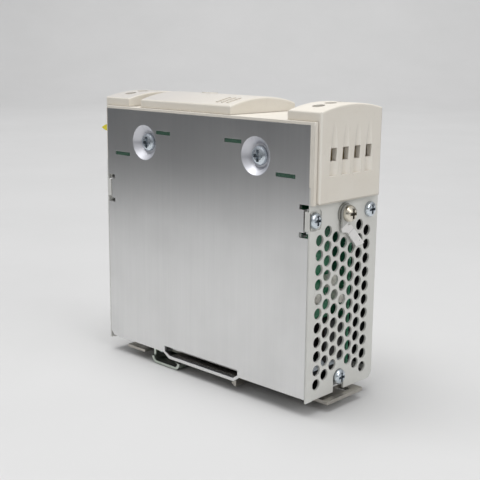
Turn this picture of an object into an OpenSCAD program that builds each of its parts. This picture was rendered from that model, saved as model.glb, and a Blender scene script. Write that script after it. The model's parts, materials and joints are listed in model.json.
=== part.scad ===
// DIN rail power supply in a metal case with a moulded front.
// X runs along the case height, Y across its width, Z from the rail to the front.
// The origin lies on the rail seat, below the middle of the case.
// Every module is drawn from the case's bottom edge and raised by case_z.

/* [Case] */
// Length of the case along X
case_l = 120; // [120:1:130]
// Width of the case across Y
case_w = 44; // [44:1:48]
// Height of the bare side plate
plate_h = 107.4; // [107:0.1:110]
// Height of the case's bottom edge above the rail seat
case_z = 2.4; // [2.2:0.1:2.6]
// Thickness of the aluminium side plate
plate_t = 1.6; // [1.5:0.1:1.8]
// Thickness of the painted sheet
sheet_t = 0.9; // [0.8:0.1:1.2]

/* [Vents] */
// Pitch of the vent holes within a column
vent_pitch = 5.836; // [5.7:0.01:5.9]
// Diameter of a vent hole
vent_d = 4.55; // [4:0.05:4.7]
// Height of the top vent row
vent_top = 63; // [60:0.5:64]

/* [Plastic front] */
// Half width of the terminal covers and the flap
front_half = 20; // [19.5:0.1:20.2]
// Reach of the terminal covers from the middle of the case
cover_reach = 63.1; // [62.8:0.1:63.4]
// Inner end of the terminal covers
cover_in = 46.7; // [46:0.1:47.5]
// Lower edge of the terminal covers
cover_low = 77.3; // [77:0.1:79]
// Height of the deck
deck_z = 108.5; // [108.4:0.1:108.8]
// Height of the covers' long edges
edge_z = 112.2; // [112:0.1:112.6]
// Height of the covers' crown
crown_z = 114.8; // [114.4:0.1:115.2]
// Ends of the flap
flap_from = -38.6; // [-39:0.1:-38]
flap_to = 16.4; // [15:0.1:17]
// Height of the flap's crown
flap_crown = 115.1; // [114.8:0.1:115.4]
// Wall thickness of the moulded parts
wall = 1.6; // [1.4:0.1:1.8]

/* [Terminals] */
// Spacing of the terminals
pole_pitch = 7.37; // [7.2:0.01:7.4]
// Terminals in a block
poles = 4; // [4:1:4]
// Travel of a clamp cage
cage_travel = 3; // [2.5:0.1:3]

/* [Rail clip] */
// Width of the rail held by the clip
rail_w = 35; // [35:0.1:35.2]
// Edge of the rail at the fixed hook
rail_from = -15.7; // [-16:0.1:-15.5]
// Thickness of the latch
latch_t = 1.2; // [1:0.1:1.3]
// Opening travel of the latch
latch_travel = 4.5; // [4:0.1:4.8]

/* [Hidden] */
$fn = 48;
arch_fn = 360;
eps = 0.01;

// Case faces
end_x = case_l / 2;
side_y = case_w / 2;
plate_in = -side_y + plate_t;      // inner face of the bare plate
far_in = side_y - sheet_t;         // inner face of the far painted wall
wall_in = end_x - sheet_t;         // inner face of the painted end walls
plate_end = end_x - 0.35;          // end of the bare plate, at its joint
tab_low = 65.6;                    // reliefs beside the folded corner tab
tab_high = 76.4;
relief_h = 2;
relief_l = 4.5;
inset = 2.4;                       // plate edge set back behind the corner tab

// Rail clip: the side walls' strips reach down to the rail seat
seat_z = -case_z;
strip_h = 1.4;
slot_from = -21.9;
slot_to = 23.5;
slot_top = 3;
rail_to = rail_from + rail_w;

// Screw dishes for the power transistors
dish_x = [-34.2, 32.2];
dish_z = 93.6;
dish_r = 7.65;
dish_floor_r = 4.7;
dish_depth = 3;
screw_r = 1.5;                     // M3 shank

// Board heights, where the boards' tabs pass through the side plate
board_t = 1.6;
control_z = 97.8;
terminal_z = 86.7;
main_y = 9;
control_tabs = [[-26.6, -17.3], [15.1, 24.6]];
terminal_tabs = [[-54.2, -44.1], [42.8, 52.8]];

// Vents: seven columns, each with its own first and last row
vent_step = vent_pitch * sqrt(3) / 2;
vent_first = [0, -0.5, 0, 0.5, 1, -0.5, 0];
vent_last = [10, 9.5, 9, 8.5, 9, 9.5, 10];

// Lower and upper edge of the end walls
end_low = -1.5;
end_top = 84;

// End screws: near, far and bottom
end_screws = [[-18.2, 71.2], [16.2, 71.6], [-0.6, 4.4]];
ground_at = [0, 72];

// Terminals
pole_mid = -0.8;                   // middle of the row
pole_y = [for (i = [0 : poles - 1]) pole_mid + (i - (poles - 1) / 2) * pole_pitch];
pole_x = 55;                       // screw axis
block_from = 46.5;
block_to = 59;
block_half = poles * pole_pitch / 2 + 1.1;
block_top = 106.2;
block_low = terminal_z + board_t;
window_w = 3.6;
window_low = 93.5;
window_high = 98.45;
cage_low = 92.2;
cage_w = 5.6;
cage_l = 6.6;
bar_low = 98.6;
bar_from = block_from - 1.6;
bar_to = pole_x + cage_l / 2 + 0.3;
screw_head_low = 104.35;

// Rounding of the flap's and of the terminal covers' upper edges
top_r = 1.1;
cover_top_r = 0.8;
far_corner = 2.8;                  // upright corners of the front on the far side

// Hinge of the flap
hinge_x = -35.3;
hinge_z = 109.6;
pin_r = 1;
lug_r = 1.55;
lug_y = [13.4, 15.4];
knuckle_y = [10.4, 13.2];

// Controls under the flap and the lens over the lights
trimmer_at = [4, -8];
switch_at = [-8, -8];
led_x = [-19.8, -16.2];
led_y = 2.5;
lens_x = -21;
lens_y = 2.5;
lens_l = 6;
lens_w = 4;

// Posts of the main board, and the common-mode choke
standoff_at = [for (x = [-52.5, 52.5], z = [8, 81]) [x, z]];
choke_at = [39, main_y, 16];

// Rivets and return spring of the rail clip
rivet_x = [-40.8, 41];
rivet_r = 2;
hook_rivet_x = -27.6;
hook_rivet_y = 16.6;
hook_rivet_r = 1.55;
spring_from = 26.5;
spring_to = 36;
spring_y = -9;
spring_z = -3.2;
spring_r = 1.5;
wire_r = 0.3;
spring_turns = 7;

// ---------------------------------------------------------------- helpers

// Raises what is drawn from the case's bottom edge
module raised() {
    translate([0, 0, case_z]) children();
}

// Repeats its children at both ends of the case
module both_ends() {
    children();
    mirror([1, 0, 0]) children();
}

// Box given by its two corners
module box(low, high) {
    translate(low) cube(high - low);
}

// Flat outline with round corners, exact
module round_rect(low, high, r) {
    translate([low[0] + r, low[1]]) square([high[0] - low[0] - 2 * r, high[1] - low[1]]);
    translate([low[0], low[1] + r]) square([high[0] - low[0], high[1] - low[1] - 2 * r]);
    for (x = [low[0] + r, high[0] - r], y = [low[1] + r, high[1] - r])
        translate([x, y]) circle(r);
}

// Extrudes an outline drawn in X and Z along Y, from y0 to y1
module along_y(y0, y1) {
    translate([0, y1, 0]) rotate([90, 0, 0]) linear_extrude(y1 - y0) children();
}

// Extrudes an outline drawn in Y and Z along X, from x0 to x1
module along_x(x0, x1) {
    translate([x0, 0, 0]) rotate([90, 0, 90]) linear_extrude(x1 - x0) children();
}

// Rod along Y
module rod_y(x, z, y0, y1, r) {
    translate([x, y0, z]) rotate([-90, 0, 0]) cylinder(h = y1 - y0, r = r);
}

// Rod along X
module rod_x(y, z, x0, x1, r) {
    translate([x0, y, z]) rotate([0, 90, 0]) cylinder(h = x1 - x0, r = r);
}

// Radius of an arch over a width of two halves that rises from edge to crown
function arch_radius(half, edge, crown) =
    (half * half + (crown - edge) * (crown - edge)) / (2 * (crown - edge));

// Crowned bar: arched over Y, with its long edges at height edge
module crowned(x0, x1, half, low, edge, crown) {
    arch_r = arch_radius(half, edge, crown);
    intersection() {
        box([x0, -half, low], [x1, half, crown]);
        rod_x(0, crown - arch_r, x0, x1, arch_r, $fn = arch_fn);
    }
}

// Crowned bar with its upper edges rounded to radius r
module rounded_crown(x0, x1, half, low, edge, crown, r) {
    arch_r = arch_radius(half, edge, crown);
    arch_z = crown - arch_r;
    round_y = half - r;
    round_z = arch_z + sqrt(pow(arch_r - r, 2) - round_y * round_y);
    lean = atan2(round_y, round_z - arch_z);
    difference() {
        intersection() {
            box([x0, -half, low], [x1, half, crown]);
            translate([0, 0, arch_z]) rotate([0, 90, 0]) rotate_extrude($fn = arch_fn)
                intersection() {
                    round_rect([-arch_r, x0], [arch_r, x1], r);
                    translate([0, x0]) square([arch_r, x1 - x0]);
                }
        }
        along_x(x0 - 1, x1 + 1) for (side = [-1, 1]) scale([side, 1])
            difference() {
                polygon([
                    [round_y, round_z], [round_y + 3 * r, round_z], [round_y + 3 * r, round_z + 3 * r],
                    [round_y + 3 * r * sin(lean), round_z + 3 * r * cos(lean)]
                ]);
                translate([round_y, round_z]) circle(r);
            }
    }
}

// Pan-head screw along +X, its head's underside at x = 0, with a cross recess
module pan_screw_x(head_r, head_h, shank_r, shank_l) {
    arm_l = head_r * 0.62;
    arm_w = head_r * 0.17;
    difference() {
        union() {
            rotate([0, 90, 0]) rotate_extrude()
                polygon([
                    [0, 0], [head_r, 0], [head_r, head_h * 0.42], [head_r * 0.93, head_h * 0.66],
                    [head_r * 0.78, head_h * 0.85], [head_r * 0.55, head_h], [0, head_h]
                ]);
            rod_x(0, 0, -shank_l, 0, shank_r);
        }
        box([head_h * 0.3, -arm_l, -arm_w], [head_h + 1, arm_l, arm_w]);
        box([head_h * 0.3, -arm_w, -arm_l], [head_h + 1, arm_w, arm_l]);
    }
}

// ---------------------------------------------------------------- case

// Outline of a side wall in X and Z, with the rail seat hanging below it
module side_outline(reach) {
    polygon([
        [-reach + 2, 0], [slot_from - 0.9, 0], [-19, seat_z], [21.3, seat_z], [slot_to + 1, 0],
        [reach, 0], [reach, plate_h], [-reach, plate_h], [-reach, 2]
    ]);
}

// Long slot over the rail seat
module seat_slot() {
    polygon([
        [slot_from, slot_top], [slot_from, 0.6], [-18.7, seat_z + strip_h],
        [20.9, seat_z + strip_h], [slot_to, 0.8], [slot_to, slot_top]
    ]);
}

// Slots that the boards' tabs show through
module tab_slots() {
    for (t = control_tabs)
        translate([t[0], control_z - 0.05]) square([t[1] - t[0], board_t + 0.1]);
    for (t = terminal_tabs)
        translate([t[0], terminal_z - 0.05]) square([t[1] - t[0], board_t + 0.1]);
}

// Pressed dish that takes a transistor screw below the plate's face
module dish_body(x) {
    translate([x, plate_in - eps, dish_z]) rotate([-90, 0, 0])
        cylinder(h = dish_depth + eps, r1 = dish_r + 1, r2 = dish_floor_r + 1);
}
module dish_cut(x) {
    translate([x, -side_y - eps, dish_z]) rotate([-90, 0, 0])
        cylinder(h = dish_depth + eps, r1 = dish_r, r2 = dish_floor_r);
    rod_y(x, dish_z, -side_y, plate_in + dish_depth + 1, screw_r + 0.2);
}

// Bare aluminium side plate, with the back wall folded from its lower edge
module side_plate() {
    back_half = side_y - 2.2;
    notch_y = side_y - 5;
    flange_x = wall_in - 0.1;
    color("#b9bcbf") raised() difference() {
        union() {
            along_y(-side_y, plate_in) difference() {
                side_outline(plate_end);
                for (s = [-1, 1], z = [tab_low, tab_high])
                    translate([s * (plate_end - relief_l / 2), z]) square([relief_l, relief_h], center = true);
                for (s = [-1, 1])
                    translate([s * (plate_end - inset / 2 + 0.01), (tab_low + tab_high) / 2])
                        square([inset + 0.02, tab_high - tab_low], center = true);
            }
            for (x = dish_x) dish_body(x);
            difference() {
                box([-wall_in + 0.3, plate_in - eps, 0], [wall_in - 0.3, back_half, plate_t]);
                for (s = [-1, 1])
                    translate([(slot_from + slot_to) / 2, s * side_y, 0])
                        cube([slot_to - slot_from, 2 * (side_y - notch_y), 8], center = true);
            }
            // Flanges that the end screws hold
            both_ends() {
                box([flange_x - plate_t, plate_in - eps, 66], [flange_x, -13.6, 75.6]);
                box([flange_x - plate_t, -4.6, plate_t - eps], [flange_x, 3.4, 8.6]);
            }
            // Tab that the latch spring pushes against
            box([spring_to, spring_y - 2, -4.4], [spring_to + 1.2, spring_y + 2, eps]);
            // Pressed pad in the middle of the back wall, level with the rail seat
            translate([0, 0, seat_z]) cylinder(h = case_z + eps, r = 4.5);
        }
        along_y(-side_y - 1, plate_in + 0.2) {
            seat_slot();
            tab_slots();
        }
        for (x = dish_x) dish_cut(x);
        both_ends() for (s = [end_screws[0], end_screws[2]])
            rod_x(s[0], s[1], flange_x - 3, flange_x + 1, screw_r + 0.05);
        // Rivet holes of the rail clip
        for (x = rivet_x) translate([x, 0, -1]) cylinder(h = 5, r = rivet_r);
        for (s = [-1, 1]) translate([hook_rivet_x, s * hook_rivet_y, -1]) cylinder(h = 5, r = hook_rivet_r);
    }
}

// Vent hole lattice, drawn in Y and Z
module vent_field() {
    for (c = [0 : 6], r = [0 : 20]) {
        row = vent_first[c] + r;
        if (row <= vent_last[c] + eps)
            translate([(c - 3) * vent_step, vent_top - vent_pitch * row]) circle(d = vent_d);
    }
}

// Outline of an end wall in Y and Z, with its far lower corner cut off
module end_outline() {
    polygon([
        [-side_y + 0.05, end_low], [side_y - 2, end_low], [side_y, end_low + 2],
        [side_y, end_top], [-side_y + 0.05, end_top]
    ]);
}

// Painted steel end walls with their vents, and a tab folded round the corner
module end_walls() {
    hem = 0.4;
    hem_w = 4;
    u_slot_r = 3.45;
    recess_half = [3.7, 3.9];
    color("#d9d7cb") raised() both_ends() difference() {
        union() {
            along_x(wall_in, end_x) intersection() {
                end_outline();
                translate([-side_y + plate_t + 0.1, -5]) square([case_w, 120]);
            }
            // Hem along the bare plate
            along_x(end_x - 0.25, end_x + hem) intersection() {
                end_outline();
                translate([-side_y, -5]) square([hem_w, 120]);
            }
            // Folded corner tab
            box([end_x - 2.1, -side_y + 0.05, tab_low + 1.6], [end_x, -side_y + 1.1, tab_high - 1.6]);
        }
        along_x(wall_in - 1, end_x + 1) {
            vent_field();
            for (s = end_screws) translate(s) circle(screw_r + 0.2);
            translate(ground_at) circle(2.1);
            // Open slot round the bottom screw
            translate([end_screws[2][0], end_screws[2][1] - 0.2]) circle(u_slot_r);
            translate([end_screws[2][0] - u_slot_r, -3]) square([2 * u_slot_r, 7.2]);
        }
        // Shallow pressed recess round the near screw
        along_x(end_x - 0.45, end_x + 1)
            round_rect(end_screws[0] - recess_half, end_screws[0] + recess_half, 1.2);
    }
}

// Painted steel wall of the far side
module far_side_wall() {
    color("#d9d7cb") raised() difference() {
        along_y(far_in, side_y) side_outline(wall_in);
        along_y(far_in - 1, side_y + 1) {
            seat_slot();
            tab_slots();
        }
    }
}

// ---------------------------------------------------------------- moulded front

// Cream moulded front: deck, side bands and the control recess
module front_housing() {
    rim_reach = end_x + 1.8;
    rim_back = -end_x - 0.1;
    recess_from = hinge_x - 6.9;
    recess_to = 13.4;
    recess_half = 18.3;
    sweep_half = front_half + 0.2;
    recess_floor = 103;
    deck_low = plate_h + 0.05;
    color("#e6dfcf") raised() difference() {
        union() {
            // Deck with its rim flush with the case
            translate([0, 0, deck_low]) linear_extrude(deck_z - deck_low)
                union() {
                    round_rect([rim_back, -side_y], [rim_reach, 0], 0.8);
                    round_rect([rim_back, -2 * far_corner], [rim_reach, side_y], far_corner);
                }
            // Skirt inside the case
            translate([0, 0, 104]) linear_extrude(deck_low - 104 + eps)
                round_rect([-wall_in + 0.3, plate_in + 0.15], [wall_in - 0.3, far_in - 0.15], 1);
            // Walls and floor of the control recess
            box([recess_from - 1.4, -recess_half - 1.4, recess_floor - 1.4],
                [recess_to + 1.4, recess_half + 1.4, deck_z - 0.3]);
            // Bands down the ends, beside the terminal covers
            box([end_x + 0.45, -side_y, cover_low], [rim_reach, -front_half - 0.15, deck_low + eps]);
            box([end_x - 0.3, -side_y, end_top + 0.1], [rim_reach, -front_half - 0.15, deck_low + eps]);
            box([rim_back, -side_y, end_top + 0.1], [-end_x + 0.3, -front_half - 0.15, deck_low + eps]);
            both_ends() box([end_x - 0.3, front_half + 0.15, end_top + 0.1], [end_x + 0.1, side_y, deck_low + eps]);
        }
        // Hollow of the skirt
        difference() {
            box([-wall_in + 1.9, plate_in + 1.7, 103], [wall_in - 1.9, far_in - 1.7, deck_low - 0.8]);
            box([recess_from - 1.4, -30, 100], [recess_to + 1.4, 30, 120]);
        }
        // Control recess, wider where the flap's end swings down into it
        box([recess_from, -recess_half, recess_floor], [recess_to, recess_half, deck_z + 1]);
        box([hinge_x - 4.6, -sweep_half, 104.2], [hinge_x + 3, sweep_half, deck_z + 1]);
        // Openings over the terminal blocks
        both_ends()
            box([block_from - 0.3, pole_mid - block_half - 0.4, 100],
                [block_to + 0.2, pole_mid + block_half + 0.4, deck_z + 1]);
        // Ends left open for the covers' outer walls
        both_ends() box([end_x + 0.4, -front_half - 0.15, 70], [end_x + 5, front_half + 0.15, deck_z + 1]);
        // Openings for the controls and the lights
        translate([trimmer_at[0], trimmer_at[1], 100]) cylinder(h = 5, r = 3.3);
        translate([switch_at[0], switch_at[1], 102.5]) cube([7.2, 3.6, 5], center = true);
        for (x = led_x) translate([x, led_y, 100]) cylinder(h = 5, r = 1.6);
    }
    // Lugs of the flap's hinge
    color("#e6dfcf") raised() for (side = [-1, 1])
        scale([1, side, 1]) difference() {
            union() {
                rod_y(hinge_x, hinge_z, lug_y[0], lug_y[1], lug_r);
                box([hinge_x, lug_y[0], recess_floor - eps], [hinge_x + lug_r, lug_y[1], hinge_z]);
            }
            rod_y(hinge_x, hinge_z, lug_y[0] - 1, lug_y[1] + 1, pin_r);
        }
}

// Terminal cover: crowned top, outer wall with four flutes and windows
module terminal_cover() {
    face_t = 2.4;
    near_corner = 1.1;
    flute_r = 3.3;
    flute_depth = 1.4;
    flute_low = 87.8;
    flute_tilt = atan(flute_depth / (deck_z - flute_low));
    hole_r = 2.5;
    difference() {
        intersection() {
            union() {
                rounded_crown(cover_in, cover_reach, front_half, deck_z + 0.1, edge_z, crown_z, cover_top_r);
                along_x(cover_reach - face_t, cover_reach)
                    round_rect([-front_half, cover_low], [front_half, deck_z + 3], 1.6);
            }
            // Rounded upright corners
            translate([0, 0, 50]) linear_extrude(100) {
                translate([cover_in, -front_half]) square([10, 2 * front_half]);
                round_rect([cover_in, -front_half], [cover_reach, 0], near_corner);
                round_rect([cover_in, -2 * far_corner], [cover_reach, front_half], far_corner);
            }
        }
        // Bevel along the lower edge
        translate([cover_reach, 0, cover_low]) rotate([0, 45, 0]) cube([1.1, 60, 1.1], center = true);
        // Hollow under the crown
        intersection() {
            crowned(cover_in + wall, cover_reach - face_t, front_half - wall, deck_z - 1, edge_z - wall, crown_z - wall);
            box([cover_in, -30, deck_z - 1], [cover_reach, 30, 120]);
        }
        for (y = pole_y) {
            // Flute that fades towards the top
            intersection() {
                translate([cover_reach + flute_r - flute_depth, y, flute_low]) rotate([0, flute_tilt, 0])
                    translate([0, 0, -5]) cylinder(h = 40, r = flute_r);
                box([cover_reach - 5, -30, flute_low], [cover_reach + 5, 30, deck_z]);
            }
            box([cover_reach - 5, y - window_w / 2, window_low], [cover_reach + 1, y + window_w / 2, window_high]);
            translate([pole_x, y, deck_z]) cylinder(h = 10, r = hole_r);
        }
    }
}
module input_terminal_cover() {
    color("#e8e1d2") raised() terminal_cover();
}
module output_terminal_cover() {
    color("#e8e1d2") raised() mirror([1, 0, 0]) terminal_cover();
}

// Hinged flap over the controls
module front_flap() {
    color("#e8e1d2") raised() difference() {
        union() {
            difference() {
                rounded_crown(flap_from, flap_to, front_half, deck_z + 0.1, edge_z, flap_crown, top_r);
                crowned(flap_from + wall, flap_to - wall, front_half - wall, deck_z, edge_z - wall,
                        flap_crown - wall);
            }
            // Knuckles on the hinge pin
            for (side = [-1, 1]) scale([1, side, 1]) {
                rod_y(hinge_x, hinge_z, knuckle_y[0], knuckle_y[1], 1.6);
                box([hinge_x - 1.6, knuckle_y[0], hinge_z], [hinge_x + 1.6, knuckle_y[1], hinge_z + 3]);
            }
            // Grip ribs
            for (x = [6, 9, 12])
                intersection() {
                    crowned(x - 0.5, x + 0.5, front_half, deck_z + 1, edge_z + 0.45, flap_crown + 0.45);
                    box([x - 0.5, -17.4, deck_z + 2], [x + 0.5, -9.5, 120]);
                }
        }
        rod_y(hinge_x, hinge_z, -knuckle_y[1] - 1, knuckle_y[1] + 1, pin_r + 0.05);
        // Notches for the lugs as the flap swings
        for (side = [-1, 1]) scale([1, side, 1])
            box([flap_from - 1, lug_y[0] - 0.15, deck_z], [hinge_x, lug_y[1] + 0.15, hinge_z + lug_r]);
        // Seat of the light lens
        box([lens_x - 0.05, lens_y - lens_w / 2 - 0.05, 110], [lens_x + lens_l + 0.05, lens_y + lens_w / 2 + 0.05, 120]);
        // Lower edge at the hinge trimmed so that it clears the deck
        difference() {
            box([flap_from - 1, -30, deck_z - 1], [hinge_x, 30, hinge_z]);
            rod_y(hinge_x, hinge_z, -30, 30, hinge_x - flap_from);
        }
    }
}

// Steel pin of the flap's hinge
module flap_hinge_pin() {
    color("#9a9c9e") raised() rod_y(hinge_x, hinge_z, -lug_y[1] - 0.3, lug_y[1] + 0.3, pin_r);
}

// Clear lens in the flap over the status lights
module status_lens() {
    color("#f3f1e8") raised() intersection() {
        box([lens_x, lens_y - lens_w / 2, 112.6], [lens_x + lens_l, lens_y + lens_w / 2, 120]);
        crowned(lens_x - 1, lens_x + lens_l + 1, front_half, deck_z, edge_z + 0.35, flap_crown + 0.35);
    }
}

// ---------------------------------------------------------------- boards

// Upright main circuit board
module main_board() {
    color("#1f6b45") raised() difference() {
        box([-56, main_y, 3.4], [56, main_y + board_t, 85.6]);
        for (p = standoff_at) rod_y(p[0], p[1], main_y - 1, main_y + 3, screw_r + 0.05);
    }
}

// A board lying across the case, with tabs that reach through the side plate
module lying_board(x0, x1, y1, z, tabs) {
    union() {
        box([x0, plate_in + 0.4, z], [x1, y1, z + board_t]);
        for (t = tabs) box([t[0] + 0.1, -side_y + 0.3, z], [t[1] - 0.1, plate_in + 1, z + board_t]);
    }
}

// Slots in a terminal board for the legs of the current bars
module leg_slots() {
    for (y = pole_y) box([bar_from - 0.1, y - 1.6, 80], [bar_from + 0.9, y + 1.6, 95]);
}
module control_board() {
    color("#1f6b45") raised() difference() {
        lying_board(-29, 26.8, 17, control_z, control_tabs);
        for (x = dish_x) translate([x, plate_in, dish_z]) cube([15, 13, 13], center = true);
    }
}
module terminal_boards() {
    color("#1f6b45") raised() difference() {
        union() {
            lying_board(41, 57, 17, terminal_z, [terminal_tabs[1]]);
            lying_board(-57, -41, 17, terminal_z, [terminal_tabs[0]]);
        }
        both_ends() leg_slots();
    }
}

// Posts that carry the main board from the side plate
module board_standoffs() {
    color("#c2c4c4") raised() for (p = standoff_at)
        difference() {
            translate([p[0], plate_in, p[1]]) rotate([-90, 0, 0]) cylinder(h = main_y - plate_in, r = 3, $fn = 6);
            rod_y(p[0], p[1], main_y - 7, main_y + 1, screw_r);
        }
}

// Black sheet between the main board and the far wall
module insulation_sheet() {
    color("#17181a") raised() box([-57, far_in - 0.5, 3.6], [57, far_in - 0.05, 92]);
}

// ---------------------------------------------------------------- power parts

module transformer_core() {
    color("#3a3a3c") raised() difference() {
        box([-20, -14, 40], [16, main_y, 72]);
        box([-14, -15, 46], [-7, main_y + 1, 66]);
        box([3, -15, 46], [10, main_y + 1, 66]);
    }
}
module transformer_winding() {
    color("#b5762f") raised() {
        box([-13.9, -16, 46.1], [-7.1, main_y - 0.1, 65.9]);
        box([3.1, -16, 46.1], [9.9, main_y - 0.1, 65.9]);
    }
}
module transformer_tape() {
    color("#d8c541") raised() difference() {
        box([-14.6, -18, 44], [10.6, -16, 68]);
        box([-6, -17, 47], [2, -15, 65]);
    }
}
module emi_choke_core() {
    color("#4a4a4d") raised() translate(choke_at) rotate([90, 0, 0]) difference() {
        cylinder(h = 14, r = 10);
        translate([0, 0, -1]) cylinder(h = 16, r = 5);
    }
}
module emi_choke_winding() {
    color("#c9b53c") raised() translate(choke_at - [0, 14.2, 0]) rotate([90, 0, 0]) difference() {
        cylinder(h = 6, r = 10.6);
        translate([0, 0, -1]) cylinder(h = 8, r = 4.5);
    }
}
module output_choke() {
    color("#a5502a") raised() translate([-34, main_y, 20]) rotate([90, 0, 0]) difference() {
        cylinder(h = 15, r = 13);
        translate([0, 0, -1]) cylinder(h = 17, r = 5);
    }
}

// Round capacitor standing on the main board
module can(x, z, r, l) {
    rod_y(x, z, main_y - l, main_y, r);
}
module bulk_capacitor() {
    color("#26282b") raised() can(12, 20, 12, 27);
}
module output_capacitors() {
    color("#2b3550") raised() for (p = [[-49, 42], [-49, 58], [-34, 44], [-34, 60]]) can(p[0], p[1], 6.2, 21);
}
module input_capacitors() {
    color("#b9bbbd") raised() for (z = [33, 46.6]) can(34, z, 6.4, 22);
}
module fuse() {
    color("#c9cbcc") raised() {
        rod_x(5.6, 36, 45, 55.5, 2.6);
        for (x = [45, 50.5]) box([x, 5.6, 33.8], [x + 4.8, main_y, 38.2]);
    }
}
module bridge_rectifier() {
    color("#1b1c1e") raised() box([24, 2, 58], [38, main_y, 72]);
}
module relay() {
    color("#22242a") raised() box([-19, -6, 8], [-3, main_y, 30]);
}

// Transistors screwed flat against the dishes, with leads to the main board
module power_transistors() {
    tab_y = plate_in + dish_depth - plate_t + 1.9;
    color("#202124") raised() for (x = dish_x) {
        difference() {
            union() {
                box([x - 5, tab_y, 79], [x + 5, tab_y + 4.4, 88]);
                box([x - 5, tab_y, 88 - eps], [x + 5, tab_y + 1.3, 96.5]);
            }
            rod_y(x, dish_z, -30, 0, screw_r);
        }
        for (d = [-2.5, 0, 2.5]) {
            box([x + d - 0.4, tab_y + 2, 74], [x + d + 0.4, tab_y + 2.8, 79 + eps]);
            box([x + d - 0.4, tab_y + 2, 74], [x + d + 0.4, main_y, 74.8]);
        }
    }
}
module thermal_pads() {
    pad_y = plate_in + dish_depth - plate_t + 1.65;
    color("#8f99a3") raised() for (x = dish_x)
        difference() {
            box([x - 6, pad_y, 79], [x + 6, pad_y + 0.25, 97.5]);
            rod_y(x, dish_z, -30, 0, screw_r + 0.1);
        }
}
// ---------------------------------------------------------------- controls

module voltage_trimmer_body() {
    color("#2f5fa8") raised() difference() {
        translate([trimmer_at[0], trimmer_at[1], control_z + board_t]) translate([-3.2, -3.2, 0]) cube([6.4, 6.4, 2.2]);
        translate([trimmer_at[0], trimmer_at[1], control_z + board_t + 0.6]) cylinder(h = 5, r = 2.3);
    }
}
module voltage_trimmer_rotor() {
    color("#e9e6dc") raised() translate([trimmer_at[0], trimmer_at[1], control_z + board_t + 0.7]) difference() {
        cylinder(h = 3.7, r = 2.25);
        translate([-1.8, -0.35, 2.7]) cube([3.6, 0.7, 2]);
        translate([-0.35, 0, 2.7]) cube([0.7, 1.8, 2]);
    }
}
module mode_switch_body() {
    color("#1c1d20") raised() difference() {
        translate([switch_at[0] - 4.2, switch_at[1] - 2, control_z + board_t]) cube([8.4, 4, 2.1]);
        translate([switch_at[0] - 2.9, switch_at[1] - 0.8, control_z + board_t + 0.8]) cube([5.8, 1.6, 5]);
    }
}
module mode_switch_slider() {
    color("#e3dfd3") raised()
        translate([switch_at[0] - 2.8, switch_at[1] - 0.7, control_z + board_t + 0.9]) cube([2.4, 1.4, 4]);
}
module status_leds() {
    color("#6fbf5a") raised() for (x = led_x) translate([x, led_y, control_z + board_t]) {
        cylinder(h = 4, r = 1.35);
        translate([0, 0, 4 - eps]) cylinder(h = 0.8, r1 = 1.35, r2 = 0.7);
    }
}

// ---------------------------------------------------------------- terminals

module terminal_block() {
    cage_gap = 0.2;
    difference() {
        box([block_from, pole_mid - block_half, block_low], [block_to, pole_mid + block_half, block_top]);
        for (y = pole_y) {
            // Chamber of the cage
            box([pole_x - cage_l / 2 - cage_gap, y - cage_w / 2 - cage_gap, cage_low - 0.4],
                [pole_x + cage_l / 2 + cage_gap, y + cage_w / 2 + cage_gap, screw_head_low - 0.25]);
            // Wire entry
            box([pole_x, y - window_w / 2 - 0.3, window_low - 0.3], [block_to + 1, y + window_w / 2 + 0.3, bar_low]);
            // Way in for the screw and the screwdriver
            translate([pole_x, y, screw_head_low - 1]) cylinder(h = 5, r = 2.05);
            // Seat of the current bar
            box([block_from - 1, y - 1.55, bar_low - 0.05], [bar_to + 0.1, y + 1.55, bar_low + 1.05]);
        }
    }
}
module terminal_blocks() {
    color("#3f7d4f") raised() both_ends() terminal_block();
}
module terminal_bars() {
    color("#c98f4a") raised() both_ends() for (y = pole_y)
        union() {
            box([bar_from, y - 1.5, bar_low], [bar_to, y + 1.5, bar_low + 1]);
            box([bar_from, y - 1.5, terminal_z - 1], [bar_from + 0.8, y + 1.5, bar_low + 1]);
        }
}

// Terminal screw of a pole, standing on the current bar
module terminal_screw(side, pole) {
    color("#c3c6ca") raised() translate([side * pole_x, pole_y[pole - 1], 0]) difference() {
        union() {
            translate([0, 0, bar_low + 1.08]) cylinder(h = screw_head_low - bar_low, r = screw_r);
            translate([0, 0, screw_head_low]) cylinder(h = 1.7, r = 1.95);
        }
        translate([-1.5, -0.3, screw_head_low + 0.8]) cube([3, 0.6, 2]);
        translate([-0.3, -1.5, screw_head_low + 0.8]) cube([0.6, 3, 2]);
    }
}

// Clamp cage of a pole, lowered so that the wire entry is open
module clamp_cage(side, pole) {
    color("#b7a05a") raised() translate([side * pole_x, pole_y[pole - 1], 0]) difference() {
        translate([-cage_l / 2, -cage_w / 2, cage_low]) cube([cage_l, cage_w, 8.9]);
        translate([-cage_l, -cage_w / 2 + 0.8, cage_low + 1.1]) cube([2 * cage_l, cage_w - 1.6, 6.5]);
        translate([0, 0, cage_low + 5]) cylinder(h = 6, r = screw_r + 0.05);
    }
}

// ---------------------------------------------------------------- rail clip

// Quarter of a bent strip, between angles a and a + 90 degrees
module bend(at, r, t, a) {
    translate(at) rotate(a) difference() {
        intersection() {
            circle(r);
            square(r + 1);
        }
        circle(r - t);
    }
}

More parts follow.
